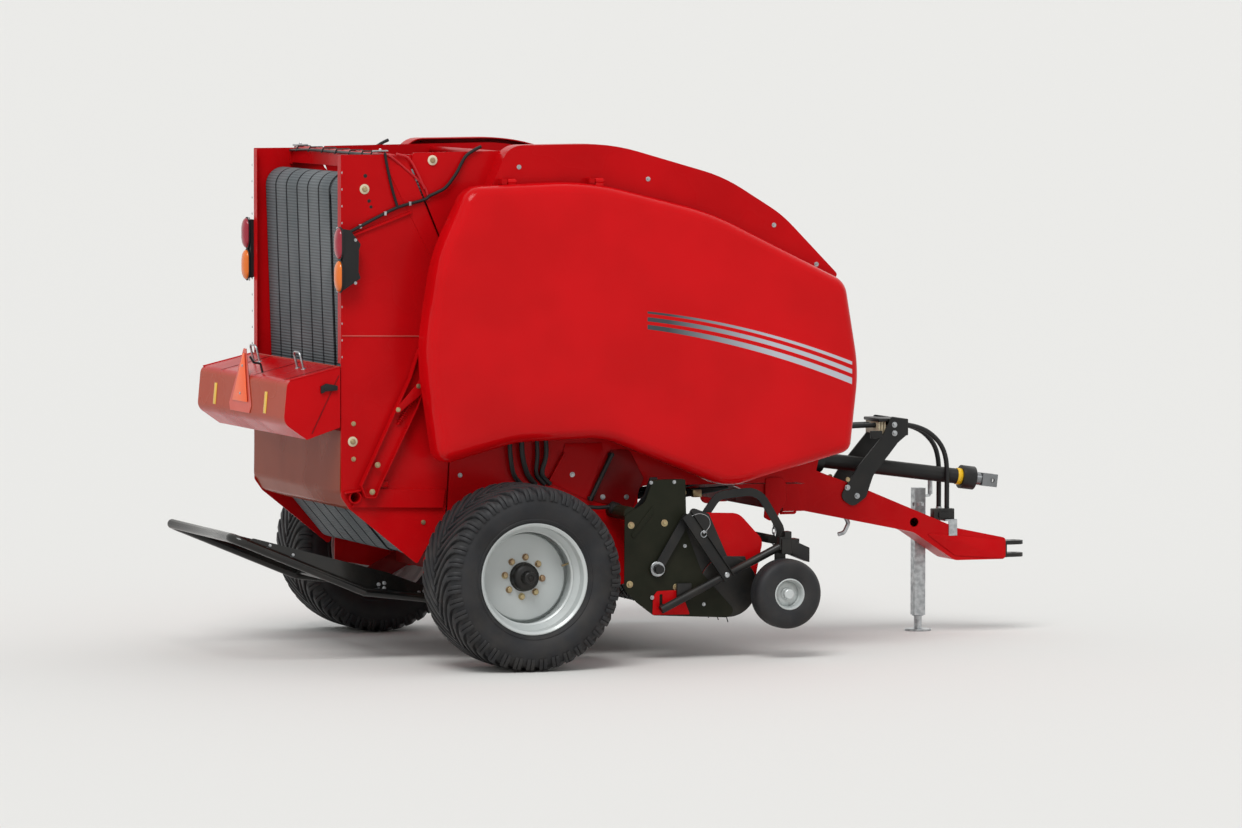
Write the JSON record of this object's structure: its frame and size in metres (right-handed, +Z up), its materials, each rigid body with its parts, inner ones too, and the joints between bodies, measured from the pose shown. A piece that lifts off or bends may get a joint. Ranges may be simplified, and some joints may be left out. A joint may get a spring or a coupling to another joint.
{
  "type": "round baler",
  "caption": "Towed round baler with belts, two gull-wing side shields, a wide tine pick-up, net wrap box, bale ramp and drawbar jack.",
  "frame": {"origin": "on the ground under the middle of the overall length, in the middle of the width", "axes": "+X forward along the drawbar to the hitch, +Y to the machine's left, +Z up"},
  "size_m": [4.868, 3.118, 2.7957],
  "materials": {
    "amber_lens": "clear lens",
    "bare_steel": "satin",
    "belt_rubber": "ribbed",
    "black_paint": "satin paint",
    "black_plastic": "matte",
    "charcoal_paint": "satin paint",
    "chrome_rod": "polished",
    "dark_red_paint": "gloss paint",
    "hose_rubber": "satin",
    "orange_sheet": "fluorescent",
    "red_lens": "clear lens",
    "red_paint": "gloss paint",
    "rim_silver": "silver paint",
    "shield_red": "gloss",
    "tyre_rubber": "matte"
  },
  "bodies": {
    "frame": {"front_frame": "red_paint", "fairing_left": "red_paint", "fairing_right": "red_paint", "axle_beam": "dark_red_paint", "front_beams": "red_paint", "front_rollers": "bare_steel", "front_belts": "belt_rubber", "gearbox": "black_paint", "drawbar": "red_paint", "hitch_clevis": "black_paint", "shaft_guard": "black_plastic", "shaft_yoke": "black_paint", "hose_holder": "black_paint", "hose_upper": "hose_rubber", "hose_lower": "hose_rubber", "hose_couplers": "bare_steel", "jack_socket": "red_paint", "lift_chain": "bare_steel"},
    "tailgate": {"tailgate_walls": "red_paint", "tailgate_panels": "red_paint", "tailgate_beams": "red_paint", "tailgate_rollers": "bare_steel", "tailgate_belts": "belt_rubber", "latch_arms": "red_paint", "latch_springs": "red_paint", "lamp_brackets": "black_plastic", "red_lamps": "red_lens", "amber_lamps": "amber_lens", "net_tray": "dark_red_paint"},
    "net_cover": {"net_cover": "red_paint", "cover_handles": "bare_steel", "slow_triangle": "orange_sheet"},
    "shield_left": {"shield_left": "shield_red"},
    "shield_right": {"shield_right": "shield_red"},
    "pickup": {"pickup_end_plates": "charcoal_paint", "pickup_inner_plates": "red_paint", "pickup_guards": "black_paint", "windguard": "black_paint", "gauge_arms": "black_paint"},
    "feed_rotor": {"feed_rotor": "dark_red_paint"},
    "tine_reel": {"tine_reel": "black_paint"},
    "bale_ramp": {"bale_ramp": "black_paint"},
    "jack": {"jack_leg": "bare_steel"},
    "gauge_wheel_left": {"gauge_tyre_left": "tyre_rubber", "gauge_rim_left": "rim_silver"},
    "main_wheel_left": {"main_tyre_left": "tyre_rubber", "main_rim_left": "rim_silver"},
    "cylinder_barrel_left": {"cylinder_barrel_left": "black_paint"},
    "cylinder_rod_left": {"cylinder_rod_left": "chrome_rod"},
    "gauge_wheel_right": {"gauge_tyre_right": "tyre_rubber", "gauge_rim_right": "rim_silver"},
    "main_wheel_right": {"main_tyre_right": "tyre_rubber", "main_rim_right": "rim_silver"},
    "cylinder_barrel_right": {"cylinder_barrel_right": "black_paint"},
    "cylinder_rod_right": {"cylinder_rod_right": "chrome_rod"}
  },
  "joints": [
    {"name": "tailgate_hinge", "type": "hinge", "parent": "frame", "child": "tailgate", "pos_m": [-1.344, 0, 2.71], "axis": [0, 1, 0], "range_deg": [0, 65]},
    {"name": "net_cover_hinge", "type": "hinge", "parent": "tailgate", "child": "net_cover", "pos_m": [-1.885, 0, 1.278], "axis": [0, -1, 0], "range_deg": [0, 60]},
    {"name": "pickup_lift", "type": "hinge", "parent": "frame", "child": "pickup", "pos_m": [-0.316, 0, 0.8], "axis": [0, -1, 0], "range_deg": [-10.5, 2]},
    {"name": "reel_spin", "type": "hinge", "parent": "pickup", "child": "tine_reel", "pos_m": [0.249, 0, 0.392], "axis": [0, 1, 0], "continuous": true},
    {"name": "rotor_spin", "type": "hinge", "parent": "frame", "child": "feed_rotor", "pos_m": [-0.316, 0, 0.56], "axis": [0, 1, 0], "continuous": true},
    {"name": "ramp_hinge", "type": "hinge", "parent": "frame", "child": "bale_ramp", "pos_m": [-1.266, 0, 0.33], "axis": [0, -1, 0], "range_deg": [0, 24], "stiffness_Nm_per_rad": 1800, "springref_deg": -25.78},
    {"name": "jack_hinge", "type": "hinge", "parent": "frame", "child": "jack", "pos_m": [1.884, 0.205, 0.6], "axis": [0, 1, 0], "range_deg": [0, 90]},
    {"name": "shield_hinge_left", "type": "hinge", "parent": "frame", "child": "shield_left", "pos_m": [-0.716, 0.972, 2.598], "axis": [1, 0, 0], "range_deg": [0, 75]},
    {"name": "main_wheel_spin_left", "type": "hinge", "parent": "frame", "child": "main_wheel_left", "pos_m": [-1.016, 1.309, 0.497], "axis": [0, 1, 0], "continuous": true},
    {"name": "gauge_wheel_spin_left", "type": "hinge", "parent": "pickup", "child": "gauge_wheel_left", "pos_m": [0.532, 1.222, 0.357], "axis": [0, 1, 0], "continuous": true},
    {"name": "cylinder_swing_left", "type": "hinge", "parent": "frame", "child": "cylinder_barrel_left", "pos_m": [-0.336, 0.852, 1.23], "axis": [0, 1, 0], "range_deg": [-9, 1]},
    {"name": "cylinder_push_left", "type": "slide", "parent": "cylinder_barrel_left", "child": "cylinder_rod_left", "axis": [-0.8333, 0, 0.5528], "range_m": [0, 0.88]},
    {"name": "shield_hinge_right", "type": "hinge", "parent": "frame", "child": "shield_right", "pos_m": [-0.716, -0.972, 2.598], "axis": [-1, 0, 0], "range_deg": [0, 75]},
    {"name": "main_wheel_spin_right", "type": "hinge", "parent": "frame", "child": "main_wheel_right", "pos_m": [-1.016, -1.309, 0.497], "axis": [0, 1, 0], "continuous": true},
    {"name": "gauge_wheel_spin_right", "type": "hinge", "parent": "pickup", "child": "gauge_wheel_right", "pos_m": [0.532, -1.222, 0.357], "axis": [0, 1, 0], "continuous": true},
    {"name": "cylinder_swing_right", "type": "hinge", "parent": "frame", "child": "cylinder_barrel_right", "pos_m": [-0.336, -0.852, 1.23], "axis": [0, 1, 0], "range_deg": [-9, 1]},
    {"name": "cylinder_push_right", "type": "slide", "parent": "cylinder_barrel_right", "child": "cylinder_rod_right", "axis": [-0.8333, 0, 0.5528], "range_m": [0, 0.88]}
  ],
  "couplings": [
    {"joint": "cylinder_swing_left", "follows": "tailgate_hinge", "ratio": -0.0059},
    {"joint": "cylinder_push_left", "follows": "tailgate_hinge", "m_per_rad": 0.7672},
    {"joint": "cylinder_swing_right", "follows": "tailgate_hinge", "ratio": -0.0059},
    {"joint": "cylinder_push_right", "follows": "tailgate_hinge", "m_per_rad": 0.7672}
  ]
}
